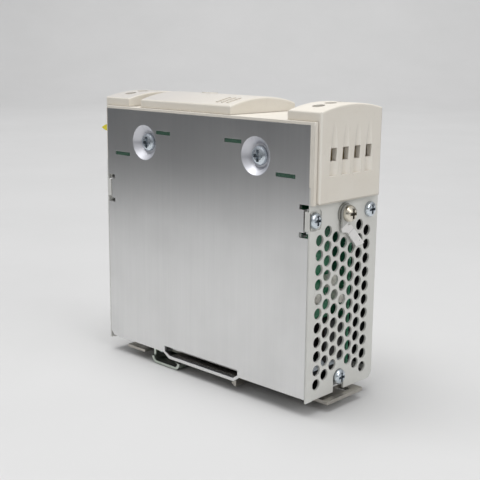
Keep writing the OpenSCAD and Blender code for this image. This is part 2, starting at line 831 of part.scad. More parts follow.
// Fixed hook: a strip rolled under the rail's edge, on two flanks
module rail_hook() {
    t = 1.3;
    hook_half = 21;
    bend_r = 3.2;
    left = rail_from - 15.8;
    low = -7.2;
    tip = rail_from + 2.4;
    lip_z = seat_z - 1.35;
    color("#b9c0b6") raised() difference() {
        union() {
            // Flanks under the back wall
            for (s = [-1, 1]) {
                box([left, s * hook_rivet_y - 3.2, -t], [left + 7.5, s * hook_rivet_y + 3.2, 0]);
                box([left, s * hook_rivet_y - 3.2, low + bend_r - 0.2], [left + t, s * hook_rivet_y + 3.2, 0]);
            }
            // Rolled trough and the lip that reaches under the rail's edge
            along_y(-hook_half, hook_half) {
                bend([left + bend_r, low + bend_r], bend_r, t, 180);
                translate([left + bend_r - eps, low]) square([tip - left - 2 * bend_r + 2 * eps, t]);
                bend([tip - bend_r, low + bend_r], bend_r, t, 270);
                polygon([[tip - t, low + bend_r - eps], [tip, low + bend_r - eps],
                         [rail_from + 0.6, lip_z], [rail_from - 0.9, lip_z]]);
            }
        }
        for (s = [-1, 1]) translate([hook_rivet_x, s * hook_rivet_y, -3]) cylinder(h = 4, r = hook_rivet_r);
    }
}

// Sliding latch of spring steel, with its jaw and the screwdriver tongue
module rail_latch() {
    low_top = -2.6;
    high_top = seat_z + 0.1 + latch_t;
    jaw_x = rail_to + 0.05;
    step_l = -21.6;
    color("#7b7468") raised() difference() {
        union() {
            // Wide head at the far left
            box([-48.7, -21, low_top - latch_t], [-36.6, 21, low_top]);
            // Neck between the hook's flanks
            box([-36.7, -11.5, low_top - latch_t], [step_l, 11.5, low_top]);
            box([step_l - latch_t, -11.5, low_top - latch_t], [step_l, 11.5, high_top]);
            // Raised middle over the rail
            box([step_l - latch_t, -11.5, high_top - latch_t], [-18.5, 11.5, high_top]);
            box([-18.6, -19.6, high_top - latch_t], [jaw_x + latch_t - 1, 19.6, high_top]);
            // Jaw wall and lip
            box([jaw_x, -19.6, -5.6], [jaw_x + latch_t, 19.6, high_top - 1]);
            rod_y(jaw_x + latch_t - 1, high_top - 1, -19.6, 19.6, 1);
            along_y(-19.6, 19.6)
                polygon([[jaw_x + eps, seat_z - 1.2], [jaw_x - 1.5, seat_z - 1.7], [jaw_x - 1.3, seat_z - 2.2],
                         [jaw_x + 0.3, -5.6], [jaw_x + 0.5, -5.6]]);
            // Low plate and tongue
            box([jaw_x, -13, low_top - latch_t], [54.5, 13, low_top]);
            box([54.4, -11.6, low_top - latch_t - 0.3], [63.3, 11.6, low_top]);
        }
        // Guide slots for the shouldered rivets
        for (x = rivet_x) {
            translate([x, 0, -9]) cylinder(h = 9, r = rivet_r + 0.25);
            translate([x - latch_travel, 0, -9]) cylinder(h = 9, r = rivet_r + 0.25);
            box([x - latch_travel, -rivet_r - 0.25, -9], [x, rivet_r + 0.25, 0]);
        }
        // Window round the rail pad of the case
        box([-6 - latch_travel, -5.5, -4], [6, 5.5, 2]);
        // Window for the return spring
        box([spring_from, spring_y - 2.6, -5], [spring_to + 1.8, spring_y + 2.6, -1]);
        // Screwdriver slot
        box([54.9, 3, -6], [60.6, 6.9, 0]);
    }
}

// Return spring between the latch and a tab of the case
module latch_spring() {
    steps = 12;
    n = spring_turns * steps;
    run = spring_to - spring_from - 2 * wire_r - 0.1;
    p = [for (i = [0 : n]) [spring_from + wire_r + 0.05 + run * i / n,
                            spring_y + spring_r * cos(360 * i / steps),
                            spring_z + spring_r * sin(360 * i / steps)]];
    sides = 6;
    rings = [for (q = p, k = [0 : sides - 1])
        let (a = atan2(q[2] - spring_z, q[1] - spring_y), c = wire_r * cos(360 * k / sides), s = wire_r * sin(360 * k / sides))
        [q[0] + s, q[1] + c * cos(a), q[2] + c * sin(a)]];
    color("#a8abad") raised() polyhedron(
        points = rings,
        faces = concat(
            [[for (k = [sides - 1 : -1 : 0]) k]],
            [for (i = [0 : n - 1], k = [0 : sides - 1])
                [i * sides + k, i * sides + (k + 1) % sides, (i + 1) * sides + (k + 1) % sides, (i + 1) * sides + k]],
            [[for (k = [0 : sides - 1]) n * sides + k]]
        ));
}

// Shouldered rivets that guide the latch, and the plain rivets of the hook
module latch_rivets() {
    color("#a9adb0") raised() {
        for (x = rivet_x) translate([x, 0, 0]) {
            translate([0, 0, -2.5]) difference() {
                cylinder(h = 2.5, r = 3.4);
                translate([0, 0, -1]) cylinder(h = 5, r = rivet_r - 0.01);
            }
            translate([0, 0, -4]) cylinder(h = 4 + plate_t, r = rivet_r - 0.01);
            translate([0, 0, -5]) cylinder(h = 1.05, r = 3.6);
            translate([0, 0, plate_t]) cylinder(h = 0.9, r = 3.2);
        }
        for (s = [-1, 1]) translate([hook_rivet_x, s * hook_rivet_y, 0]) {
            translate([0, 0, -1.9]) cylinder(h = 0.6, r = 2.6);
            translate([0, 0, -1.4]) cylinder(h = 1.4 + plate_t, r = hook_rivet_r - 0.01);
            translate([0, 0, plate_t]) cylinder(h = 0.8, r = 2.6);
        }
    }
}

// ---------------------------------------------------------------- fasteners

// Screws of both end walls, of the main board and of the power transistors
module small_screws() {
    color("#c9ccd0") raised() {
        both_ends() for (s = end_screws)
            translate([end_x - (s[0] < -10 ? 0.45 : 0), s[0], s[1]]) pan_screw_x(3.1, 1.9, screw_r - 0.01, 5);
        for (p = standoff_at)
            translate([p[0], main_y + board_t, p[1]]) rotate([0, 0, 90]) pan_screw_x(2.8, 1.8, screw_r - 0.02, 6);
        for (x = dish_x)
            translate([x, -side_y + dish_depth, dish_z]) rotate([0, 0, -90])
                pan_screw_x(3.9, 1.9, screw_r - 0.02, 6.5);
    }
}

// Ground terminal on the input end
module ground_washer() {
    color("#b8b9b4") raised() translate([0, ground_at[0] - 0.4, ground_at[1]]) difference() {
        rod_x(0, 0, end_x + 0.05, end_x + 0.85, 4.1);
        rod_x(0.4, 0, end_x - 1, end_x + 3, 2.05);
    }
}
module ground_tab() {
    tab_x = end_x + 0.9;
    color("#d8d6d0") raised() difference() {
        union() {
            rod_x(ground_at[0], ground_at[1], tab_x, tab_x + 0.8, 3.6);
            along_x(tab_x, tab_x + 0.8)
                polygon([[-3.5, 71.4], [0.6, 71.4], [0.2, 67.1], [2.3, 67.2], [6.9, 62.8], [11.3, 58.5],
                         [6.3, 57.7], [0, 64.3], [-3.5, 64.8]]);
        }
        rod_x(ground_at[0], ground_at[1], end_x, end_x + 3, 2.05);
    }
}
module ground_screw() {
    color("#c5b79a") raised() translate([end_x + 1.75, ground_at[0], ground_at[1]]) pan_screw_x(3.3, 2.7, 2, 9);
}

// Yellow marker on the output end
module marker_tab() {
    color("#e6d832") raised() along_y(-side_y + 0.35, -side_y + 1.15)
        polygon([[-end_x - 0.15, 96.9], [-end_x - 0.15, 100], [-end_x - 2, 99.6], [-end_x - 4.6, 98.3], [-end_x - 2, 97.2]]);
}

side_plate();
end_walls();
far_side_wall();
front_housing();
input_terminal_cover();
output_terminal_cover();
front_flap();
flap_hinge_pin();
status_lens();
main_board();
control_board();
terminal_boards();
board_standoffs();
insulation_sheet();
transformer_core();
transformer_winding();
transformer_tape();
emi_choke_core();
emi_choke_winding();
output_choke();
bulk_capacitor();
output_capacitors();
input_capacitors();
fuse();
bridge_rectifier();
relay();
power_transistors();
thermal_pads();
voltage_trimmer_body();
voltage_trimmer_rotor();
mode_switch_body();
mode_switch_slider();
status_leds();
terminal_blocks();
terminal_bars();
terminal_screw(1, 1);  // input_screw_1
terminal_screw(1, 2);  // input_screw_2
terminal_screw(1, 3);  // input_screw_3
terminal_screw(1, 4);  // input_screw_4
terminal_screw(-1, 1);  // output_screw_1
terminal_screw(-1, 2);  // output_screw_2
terminal_screw(-1, 3);  // output_screw_3
terminal_screw(-1, 4);  // output_screw_4
clamp_cage(1, 1);  // input_cage_1
clamp_cage(1, 2);  // input_cage_2
clamp_cage(1, 3);  // input_cage_3
clamp_cage(1, 4);  // input_cage_4
clamp_cage(-1, 1);  // output_cage_1
clamp_cage(-1, 2);  // output_cage_2
clamp_cage(-1, 3);  // output_cage_3
clamp_cage(-1, 4);  // output_cage_4
rail_hook();
rail_latch();
latch_spring();
latch_rivets();
small_screws();
ground_screw();
ground_washer();
ground_tab();
marker_tab();
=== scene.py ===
"""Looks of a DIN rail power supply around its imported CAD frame."""
import math

import bmesh
import bpy
from mathutils import Matrix, Vector
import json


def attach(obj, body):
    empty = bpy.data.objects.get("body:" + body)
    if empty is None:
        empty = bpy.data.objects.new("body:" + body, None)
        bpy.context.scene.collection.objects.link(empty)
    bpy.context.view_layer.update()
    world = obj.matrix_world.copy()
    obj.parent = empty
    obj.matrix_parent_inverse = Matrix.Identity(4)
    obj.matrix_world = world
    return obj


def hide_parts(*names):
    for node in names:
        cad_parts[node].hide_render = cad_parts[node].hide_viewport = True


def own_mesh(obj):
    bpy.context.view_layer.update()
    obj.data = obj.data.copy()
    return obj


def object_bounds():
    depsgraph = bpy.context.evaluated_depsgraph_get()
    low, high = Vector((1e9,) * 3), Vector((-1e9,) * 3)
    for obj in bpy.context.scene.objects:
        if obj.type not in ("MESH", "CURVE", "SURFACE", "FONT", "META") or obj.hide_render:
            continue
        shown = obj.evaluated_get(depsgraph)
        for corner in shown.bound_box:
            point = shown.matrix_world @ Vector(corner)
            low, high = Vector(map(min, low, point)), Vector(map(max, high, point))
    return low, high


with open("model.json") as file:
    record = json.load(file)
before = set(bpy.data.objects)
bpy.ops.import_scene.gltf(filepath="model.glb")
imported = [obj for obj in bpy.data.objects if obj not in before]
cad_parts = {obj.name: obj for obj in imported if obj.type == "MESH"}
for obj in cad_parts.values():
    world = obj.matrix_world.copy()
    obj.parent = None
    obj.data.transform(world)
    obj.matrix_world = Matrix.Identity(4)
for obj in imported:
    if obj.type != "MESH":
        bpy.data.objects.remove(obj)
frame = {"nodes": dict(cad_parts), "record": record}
nodes = frame["nodes"]
cad_low, cad_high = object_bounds()

MM = 0.001
FLOOR_Z = cad_low.z - 0.0002


# ---------------------------------------------------------------- camera

def make_camera():
    right = Vector((0.72423, 0.68949, 0.00948))
    up = Vector((-0.15018, 0.14431, 0.97807))
    back = right.cross(up).normalized()
    up = back.cross(right).normalized()
    data = bpy.data.cameras.new("camera")
    data.lens = 69.24
    data.sensor_width = 36.0
    data.clip_start = 0.01
    data.clip_end = 50.0
    cam = bpy.data.objects.new("camera", data)
    turn = Matrix((right.normalized(), up, back)).transposed().to_4x4()
    cam.matrix_world = Matrix.Translation((0.27567, -0.28705, 0.13892)) @ turn
    bpy.context.scene.collection.objects.link(cam)
    bpy.context.scene.camera = cam


# ---------------------------------------------------------------- material kit

class Shader:
    """A node tree around one Principled BSDF, in object coordinates."""

    def __init__(self, name, color, metallic=0.0, roughness=0.5, **sockets):
        self.mat = bpy.data.materials.new(name)
        self.mat.use_nodes = True
        self.tree = self.mat.node_tree
        self.tree.nodes.clear()
        self.out = self.add("ShaderNodeOutputMaterial")
        self.bsdf = self.add("ShaderNodeBsdfPrincipled")
        self.link(self.bsdf.outputs[0], self.out.inputs["Surface"])
        self.bsdf.inputs["Base Color"].default_value = (*color, 1)
        self.bsdf.inputs["Metallic"].default_value = metallic
        self.bsdf.inputs["Roughness"].default_value = roughness
        for key, value in sockets.items():
            self.bsdf.inputs[key.replace("_", " ")].default_value = value
        self.coords = self.add("ShaderNodeTexCoord").outputs["Object"]
        self.normal = None

    def add(self, kind, **attributes):
        node = self.tree.nodes.new(kind)
        for key, value in attributes.items():
            setattr(node, key, value)
        return node

    def link(self, a, b):
        self.tree.links.new(a, b)

    def stretched(self, scale, shift=(0, 0, 0)):
        node = self.add("ShaderNodeMapping")
        self.link(self.coords, node.inputs["Vector"])
        node.inputs["Scale"].default_value = scale
        node.inputs["Location"].default_value = shift
        return node.outputs[0]

    def noise(self, scale, detail=3.0, rough=0.55, stretch=None, shift=(0, 0, 0)):
        node = self.add("ShaderNodeTexNoise")
        vector = self.stretched(stretch, shift) if stretch else self.coords
        self.link(vector, node.inputs["Vector"])
        node.inputs["Scale"].default_value = scale
        node.inputs["Detail"].default_value = detail
        node.inputs["Roughness"].default_value = rough
        return node.outputs["Fac"]

    def voronoi(self, scale, feature="F1", stretch=None):
        node = self.add("ShaderNodeTexVoronoi", feature=feature)
        vector = self.stretched(stretch) if stretch else self.coords
        self.link(vector, node.inputs["Vector"])
        node.inputs["Scale"].default_value = scale
        return node.outputs["Distance"]

    def ramp(self, value, stops):
        node = self.add("ShaderNodeValToRGB")
        self.link(value, node.inputs[0])
        line = node.color_ramp
        while len(line.elements) < len(stops):
            line.elements.new(0.5)
        for element, (place, tone) in zip(line.elements, stops):
            element.position = place
            element.color = (*tone, 1) if isinstance(tone, tuple) else (tone, tone, tone, 1)
        return node.outputs[0]

    def math(self, op, a, b=None, c=None, clamp=False):
        node = self.add("ShaderNodeMath", operation=op, use_clamp=clamp)
        for place, value in enumerate((a, b, c)):
            if value is None:
                continue
            if isinstance(value, (int, float)):
                node.inputs[place].default_value = value
            else:
                self.link(value, node.inputs[place])
        return node.outputs[0]

    def spread(self, value, low, high, to_low, to_high):
        node = self.add("ShaderNodeMapRange")
        self.link(value, node.inputs["Value"])
        for key, number in (("From Min", low), ("From Max", high), ("To Min", to_low), ("To Max", to_high)):
            node.inputs[key].default_value = number
        return node.outputs["Result"]

    def mix(self, factor, a, b, blend="MIX"):
        node = self.add("ShaderNodeMix", data_type="RGBA", blend_type=blend)
        for place, value in ((0, factor), (6, a), (7, b)):
            if isinstance(value, (int, float)):
                node.inputs[place].default_value = value
            elif isinstance(value, tuple):
                node.inputs[place].default_value = (*value, 1)
            else:
                self.link(value, node.inputs[place])
        return node.outputs[2]

    def soft_edges(self, radius):
        node = self.add("ShaderNodeBevel", samples=6)
        node.inputs["Radius"].default_value = radius
        self.normal = node.outputs[0]
        return self.normal

    def edge_mask(self, radius, gain):
        """1 along edges within radius, 0 on flat faces."""
        bevel = self.add("ShaderNodeBevel", samples=6)
        bevel.inputs["Radius"].default_value = radius
        true_normal = self.add("ShaderNodeNewGeometry").outputs["Normal"]
        dot = self.add("ShaderNodeVectorMath", operation="DOT_PRODUCT")
        self.link(bevel.outputs[0], dot.inputs[0])
        self.link(true_normal, dot.inputs[1])
        return self.math("MULTIPLY", self.math("SUBTRACT", 1.0, dot.outputs["Value"]), gain, clamp=True)

    def painted_hollow_shade(self, distance, amount):
        """Painted shade: up to amount in hollows narrower than distance, 0 on open faces."""
        node = self.add("ShaderNodeAmbientOcclusion", samples=8)
        node.inputs["Distance"].default_value = distance
        return self.spread(node.outputs["AO"], 0.35, 0.95, amount, 0.0)

    def bump(self, height, distance, strength=1.0):
        node = self.add("ShaderNodeBump")
        node.inputs["Strength"].default_value = strength
        node.inputs["Distance"].default_value = distance
        self.link(height, node.inputs["Height"])
        if self.normal is not None:
            self.link(self.normal, node.inputs["Normal"])
        self.normal = node.outputs[0]

    def set(self, socket, value):
        self.link(value, self.bsdf.inputs[socket])

    def done(self):
        if self.normal is not None:
            self.link(self.normal, self.bsdf.inputs["Normal"])
        return self.mat


# ---------------------------------------------------------------- materials

def bare_aluminium():
    s = Shader("bare_aluminium", (0.66, 0.665, 0.67), 1.0, 0.34, Anisotropic=0.55)
    tangent = s.add("ShaderNodeTangent", direction_type="RADIAL", axis="Z")
    s.link(tangent.outputs[0], s.bsdf.inputs["Tangent"])
    s.soft_edges(0.18 * MM)
    fine = s.noise(1.0, 4, 0.6, stretch=(5200, 5200, 55))
    broad = s.noise(1.0, 3, 0.5, stretch=(620, 620, 9), shift=(3, 1, 2))
    cloud = s.noise(34, 4, 0.6)
    smear = s.noise(15, 3, 0.55, stretch=(3.2, 3.2, 1.0), shift=(0.7, 0, 0.2))
    # the pressed dishes are smoother than the plate, and their paler, bluer tone is painted light for the
    # light their sloped faces catch
    place = s.add("ShaderNodeSeparateXYZ")
    s.link(s.coords, place.inputs[0])
    dish_finish_and_light = None
    for x in (-34.2, 32.2):
        dx = s.math("SUBTRACT", place.outputs["X"], x * MM)
        dz = s.math("SUBTRACT", place.outputs["Z"], 96.0 * MM)
        far = s.math("SQRT", s.math("ADD", s.math("MULTIPLY", dx, dx), s.math("MULTIPLY", dz, dz)))
        inside = s.spread(far, 7.5 * MM, 8.1 * MM, 1.0, 0.0)
        dish_finish_and_light = inside if dish_finish_and_light is None else s.math("MAXIMUM", dish_finish_and_light, inside)
    lines = s.math("ADD", s.math("MULTIPLY", fine, 0.55), s.math("MULTIPLY", broad, 0.45))
    tone = s.mix(s.ramp(lines, [(0.30, 0.0), (0.72, 1.0)]), (0.74, 0.742, 0.738), (0.80, 0.80, 0.795))
    tone = s.mix(s.ramp(cloud, [(0.45, 0.0), (0.68, 0.30)]), tone, (0.67, 0.675, 0.665))
    tone = s.mix(s.ramp(smear, [(0.35, 0.0), (0.75, 0.30)]), tone, (0.84, 0.84, 0.835))
    # painted shade: darker towards the lid, where the plate mirrors the dark room, and dark on the inside of
    # the bottom flange, which lies in shade
    painted_top_shade = s.spread(place.outputs["Z"], 62 * MM, 90 * MM, 0.0, 0.26)
    tone = s.mix(painted_top_shade, tone, (0.12, 0.12, 0.125))
    # painted shade on the inside face just above the notch
    inner = s.spread(place.outputs["Y"], -21.0 * MM, -20.6 * MM, 0.0, 0.8)
    inner = s.math("MULTIPLY", inner, s.spread(place.outputs["Z"], 3.0 * MM, 3.3 * MM, 0.0, 1.0))
    low = s.spread(place.outputs["Z"], 14 * MM, 15 * MM, 1.0, 0.0)
    tone = s.mix(s.math("MULTIPLY", inner, low), tone, (0.09, 0.09, 0.09))
    tone = s.mix(dish_finish_and_light, tone, (0.70, 0.705, 0.74))
    s.set("Base Color", tone)
    rough = s.math("ADD", s.spread(lines, 0.3, 0.75, 0.33, 0.38), s.spread(cloud, 0.35, 0.7, -0.02, 0.05))
    s.set("Roughness", s.math("MAXIMUM", rough, s.math("MULTIPLY", dish_finish_and_light, 0.52)))
    s.bump(s.math("MULTIPLY", lines, s.math("SUBTRACT", 1.0, dish_finish_and_light)), 0.006 * MM, 0.35)
    return s.done()


def painted_sheet():
    s = Shader("painted_sheet", (0.69, 0.69, 0.655), 0.0, 0.42, Specular_IOR_Level=0.45)
    s.soft_edges(0.22 * MM)
    peel = s.noise(900, 2, 0.5)
    grime = s.noise(60, 5, 0.65)
    tone = s.mix(s.ramp(grime, [(0.40, 0.0), (0.75, 0.5)]), (0.68, 0.68, 0.645), (0.60, 0.60, 0.565))
    patches = s.ramp(s.noise(420, 3, 0.6), [(0.50, 0.0), (0.62, 1.0)])
    worn = s.math("MULTIPLY", s.edge_mask(0.25 * MM, 2.2), patches)
    tone = s.mix(s.math("MULTIPLY", worn, 0.5), tone, (0.50, 0.50, 0.49))
    s.set("Base Color", tone)
    s.set("Roughness", s.spread(grime, 0.3, 0.7, 0.36, 0.50))
    s.bump(peel, 0.02 * MM, 0.35)
    return s.done()


def cream_plastic():
    s = Shader("cream_plastic", (0.76, 0.715, 0.635), 0.0, 0.46, Specular_IOR_Level=0.5)
    s.soft_edges(0.2 * MM)
    grain = s.noise(3600, 2, 0.5)
    tint = s.noise(42, 3, 0.5)
    dust = s.noise(260, 5, 0.7)
    tone = s.mix(s.ramp(tint, [(0.35, 0.0), (0.70, 1.0)]), (0.775, 0.735, 0.66), (0.745, 0.70, 0.615))
    tone = s.mix(s.ramp(dust, [(0.58, 0.0), (0.78, 0.25)]), tone, (0.60, 0.56, 0.49))
    # painted shade: recesses narrower than 1.5 mm are darkened
    tone = s.mix(s.painted_hollow_shade(1.5 * MM, 0.4), tone, (0.60, 0.53, 0.46))
    facing = s.add("ShaderNodeSeparateXYZ")
    s.link(s.add("ShaderNodeNewGeometry").outputs["True Normal"], facing.inputs[0])
    place = s.add("ShaderNodeSeparateXYZ")
    s.link(s.coords, place.inputs[0])
    # painted shade: faces turned downwards are darkened
    painted_underside_shade = s.spread(facing.outputs["Z"], -0.75, -0.35, 0.42, 0.0)
    tone = s.mix(painted_underside_shade, tone, (0.36, 0.33, 0.27))
    # painted shade and painted light by facing: flute flanks facing +Y are darkened and those facing -Y on +X
    # faces are lightened, for more contrast than the lamps give, and the ledge gets a painted highlight
    painted_dark_flank = s.spread(facing.outputs["Y"], 0.10, 0.55, 0.0, 0.42)
    tone = s.mix(painted_dark_flank, tone, (0.50, 0.47, 0.46))
    painted_lit_flank = s.spread(facing.outputs["Y"], -0.55, -0.10, 0.45, 0.0)
    front = s.spread(facing.outputs["X"], 0.3, 0.6, 0.0, 1.0)
    tone = s.mix(s.math("MULTIPLY", painted_lit_flank, front), tone, (0.95, 0.92, 0.85))
    outside = s.math("MULTIPLY", s.spread(place.outputs["X"], 57 * MM, 57.4 * MM, 0.0, 1.0),
                     s.spread(place.outputs["Z"], 93 * MM, 92 * MM, 0.0, 1.0))
    painted_ledge_highlight = s.math("MULTIPLY", outside, s.spread(facing.outputs["Z"], 0.4, 0.7, 0.0, 0.8))
    tone = s.mix(painted_ledge_highlight, tone, (0.97, 0.95, 0.90))
    # painted shade: the up-facing crowns are darkened towards the output end
    painted_crown_shade = s.spread(facing.outputs["Z"], 0.7, 0.9, 0.0, 1.0)
    painted_crown_shade = s.math("MULTIPLY", painted_crown_shade, s.spread(place.outputs["Z"], 112.5 * MM, 113.5 * MM, 0.0, 1.0))
    painted_crown_shade = s.math("MULTIPLY", painted_crown_shade, s.spread(place.outputs["X"], -30 * MM, 50 * MM, 0.75, 0.0))
    tone = s.mix(painted_crown_shade, tone, (0.50, 0.48, 0.46))
    s.set("Base Color", tone)
    s.set("Roughness", s.spread(tint, 0.3, 0.7, 0.40, 0.52))
    s.bump(grain, 0.012 * MM, 0.5)
    return s.done()


def plain_plastic(name, color, roughness=0.45, grain_scale=2200.0, sheen=0.12):
    s = Shader(name, color, 0.0, roughness)
    s.soft_edges(0.15 * MM)
    spots = s.noise(180, 4, 0.6)
    dark = tuple(c * (1 - sheen) for c in color)
    light = tuple(min(1, c * (1 + sheen)) for c in color)
    s.set("Base Color", s.mix(s.ramp(spots, [(0.3, 0.0), (0.7, 1.0)]), dark, light))
    s.set("Roughness", s.spread(spots, 0.3, 0.7, roughness - 0.06, roughness + 0.08))
    s.bump(s.noise(grain_scale, 2, 0.5), 0.01 * MM, 0.5)
    return s.done()


def plated_metal(name, color, roughness=0.3, stain=(0.35, 0.34, 0.30), stain_amount=0.25,
                 grain=(900, 900, 900)):
    s = Shader(name, color, 1.0, roughness)
    s.soft_edges(0.12 * MM)
    spots = s.noise(340, 5, 0.65)
    streak = s.noise(1.0, 3, 0.6, stretch=grain)
    tone = s.mix(s.ramp(spots, [(0.45, 0.0), (0.75, stain_amount)]), color, stain)
    # painted shade: recesses such as the screws' cross slots are darkened almost to black
    tone = s.mix(s.painted_hollow_shade(1.1 * MM, 0.85), tone, (0.07, 0.075, 0.085))
    bright = tuple(min(1, c * 1.15) for c in color)
    s.set("Base Color", s.mix(s.ramp(streak, [(0.3, 0.0), (0.75, 0.25)]), tone, bright))
    rough = s.spread(spots, 0.3, 0.7, roughness - 0.05, roughness + 0.12)
    s.set("Roughness", s.math("ADD", rough, s.spread(streak, 0.3, 0.7, -0.03, 0.05)))
    s.bump(streak, 0.01 * MM, 0.5)
    return s.done()


def circuit_board():
    s = Shader("circuit_board", (0.03, 0.17, 0.09), 0.0, 0.28, Specular_IOR_Level=0.6)
    cells = s.voronoi(260, "DISTANCE_TO_EDGE", (1, 0.6, 1))
    tracks = s.ramp(cells, [(0.05, 1.0), (0.09, 0.0)])
    fill = s.noise(55, 3, 0.5)
    tone = s.mix(s.ramp(fill, [(0.40, 0.0), (0.62, 1.0)]), (0.022, 0.15, 0.078), (0.036, 0.225, 0.118))
    tone = s.mix(s.math("MULTIPLY", tracks, 0.6), tone, (0.06, 0.29, 0.16))
    pads = s.ramp(s.voronoi(420), [(0.14, 1.0), (0.18, 0.0)])
    tone = s.mix(s.math("MULTIPLY", pads, 0.7), tone, (0.55, 0.56, 0.53))
    # the tabs' cut edges in the slots of the plate are plain
    place = s.add("ShaderNodeSeparateXYZ")
    s.link(s.coords, place.inputs[0])
    edge = s.spread(place.outputs["Y"], -20.6 * MM, -20.2 * MM, 1.0, 0.0)
    fibre = s.noise(1.0, 3, 0.6, stretch=(300, 300, 2600))
    plain = s.mix(s.ramp(fibre, [(0.35, 0.0), (0.7, 1.0)]), (0.022, 0.07, 0.045), (0.06, 0.14, 0.09))
    s.set("Base Color", s.mix(edge, tone, plain))
    s.set("Roughness", s.spread(fill, 0.3, 0.7, 0.22, 0.36))
    s.bump(s.math("ADD", tracks, pads), 0.03 * MM, 0.6)
    return s.done()


def kinked_strip():
    """Tinned strip: darker round its eye, lighter and spotted past the kink, with a painted shade line for
    the fold.
    """
    s = Shader("tinned_lug", (0.72, 0.71, 0.69), 0.35, 0.3)
    s.soft_edges(0.12 * MM)
    place = s.add("ShaderNodeSeparateXYZ")
    s.link(s.coords, place.inputs[0])
    spots = s.noise(420, 4, 0.65)
    eye = s.mix(spots, (0.42, 0.42, 0.40), (0.60, 0.60, 0.575))
    strip = s.mix(spots, (0.74, 0.73, 0.71), (0.90, 0.89, 0.87))
    along = s.math("ADD", place.outputs["Z"], s.math("MULTIPLY", place.outputs["Y"], -0.55))
    bright = s.spread(along, 70.6 * MM, 71.0 * MM, 1.0, 0.0)
    tone = s.mix(bright, eye, strip)
    # painted shade: a dark line across the flat strip stands in for the fold
    painted_fold_shade = s.math("MULTIPLY", s.spread(along, 65.2 * MM, 65.7 * MM, 0.0, 1.0),
                  s.spread(along, 65.7 * MM, 66.2 * MM, 1.0, 0.0))
    tone = s.mix(s.math("MULTIPLY", painted_fold_shade, 0.5), tone, (0.45, 0.44, 0.43))
    s.set("Base Color", tone)
    s.set("Roughness", s.spread(spots, 0.3, 0.7, 0.26, 0.42))
    s.bump(spots, 0.03 * MM, 0.5)
    return s.done()


def coil_tape():
    """Yellow polyester tape, dark brown on the line choke."""
    s = Shader("yellow_tape", (0.62, 0.52, 0.14), 0.0, 0.3)
    s.soft_edges(0.15 * MM)
    place = s.add("ShaderNodeSeparateXYZ")
    s.link(s.coords, place.inputs[0])
    spots = s.noise(600, 4, 0.6)
    tape = s.mix(spots, (0.54, 0.45, 0.11), (0.70, 0.59, 0.17))
    brown = s.mix(spots, (0.035, 0.028, 0.018), (0.10, 0.075, 0.035))
    low = s.math("MULTIPLY", s.spread(place.outputs["Z"], 31 * MM, 32 * MM, 1.0, 0.0),
                 s.spread(place.outputs["X"], 26 * MM, 27 * MM, 0.0, 1.0))
    s.set("Base Color", s.mix(low, tape, brown))
    s.set("Roughness", s.spread(spots, 0.3, 0.7, 0.25, 0.40))
    s.bump(spots, 0.015 * MM, 0.5)
    return s.done()


def wound_wire(name, color, pitch, direction):
    """Enamelled wire laid side by side, across the given direction."""
    s = Shader(name, color, 0.85, 0.32)
    wave = s.add("ShaderNodeTexWave", wave_type="BANDS", bands_direction=direction, wave_profile="SIN")
    s.link(s.coords, wave.inputs["Vector"])
    wave.inputs["Scale"].default_value = 0.314 / pitch / 1.0
    wave.inputs["Distortion"].default_value = 0.6
    wave.inputs["Detail"].default_value = 1.0
    lines = wave.outputs["Fac"]
    # painted shade: dark bands between the turns
    s.set("Base Color", s.mix(s.ramp(lines, [(0.15, 0.0), (0.6, 1.0)]), tuple(c * 0.3 for c in color), color))
    s.bump(lines, 0.25 * MM, 0.8)
    return s.done()


def sleeve(name, color, stripe):
    """Shrunk capacitor sleeve with a plain polarity stripe."""
    s = Shader(name, color, 0.0, 0.25, Coat_Weight=0.3, Coat_Roughness=0.15)
    spots = s.noise(120, 4, 0.6)
    dark, light = (tuple(c * share for c in color) for share in (0.8, 1.25))
    tone = s.mix(s.ramp(spots, [(0.3, 0.0), (0.7, 1.0)]), dark, light)
    bands = s.noise(1.0, 1, 0.3, stretch=(1, 1, 120))
    s.set("Base Color", s.mix(s.ramp(bands, [(0.60, 0.0), (0.62, 1.0)]), tone, stripe))
    s.bump(s.noise(700, 3, 0.5), 0.02 * MM, 0.5)
    return s.done()


